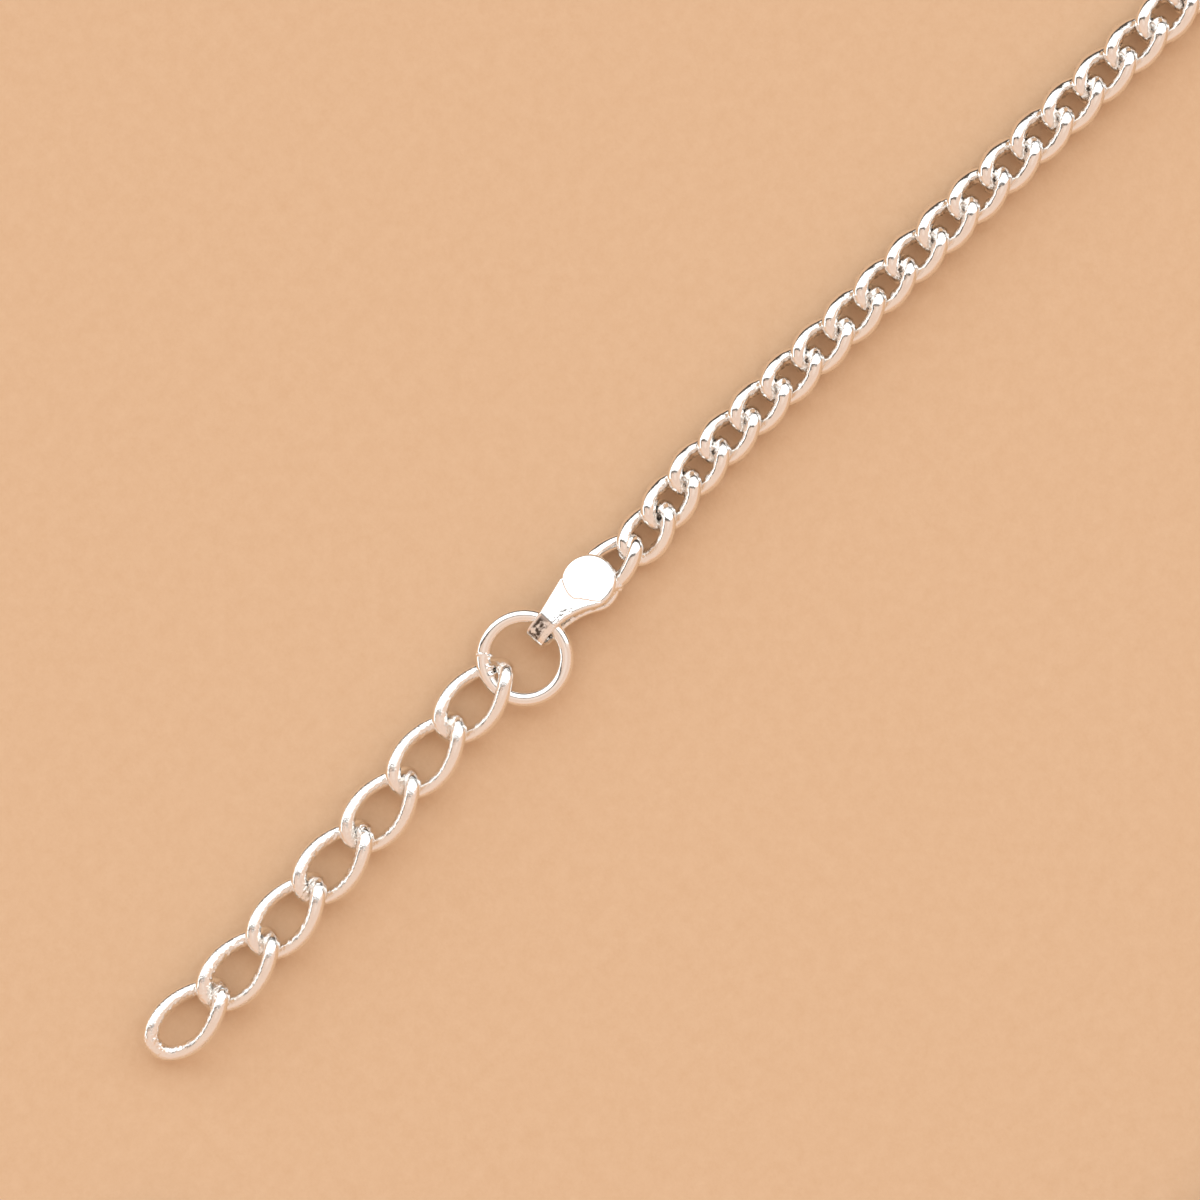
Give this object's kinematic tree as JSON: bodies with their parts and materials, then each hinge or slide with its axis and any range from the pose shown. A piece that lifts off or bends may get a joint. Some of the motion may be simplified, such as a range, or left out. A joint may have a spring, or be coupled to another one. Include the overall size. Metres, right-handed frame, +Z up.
{
  "type": "baby bracelet",
  "caption": "Fine silver curb-link bracelet laid open in a loop: leaf-shaped end tag, jump ring and extension row at one end, spring-ring clasp at the other.",
  "frame": {"origin": "middle of the whole bracelet's outline, on the surface that it lies on", "axes": "+X along the straight stretch, from the free end of the extension towards the chain; +Y across the loop, towards the straight stretch; +Z up from the surface"},
  "size_m": [0.0708, 0.0348, 0.0016],
  "materials": {
    "chain_silver": "polished silver, bright",
    "tag_silver": "polished silver sheet, bright",
    "ring_silver": "polished silver wire, bright",
    "extension_silver": "plated silver wire, bright with a fine grain",
    "clasp_silver": "polished silver, bright"
  },
  "bodies": {
    "root": {"chain_run": "chain_silver", "leaf_tag": "tag_silver", "jump_ring": "ring_silver", "extension_link_1": "extension_silver", "extension_link_2": "extension_silver", "extension_link_3": "extension_silver", "extension_link_4": "extension_silver", "extension_link_5": "extension_silver", "extension_link_6": "extension_silver", "extension_link_7": "extension_silver", "clasp": "clasp_silver"}
  },
  "joints": []
}
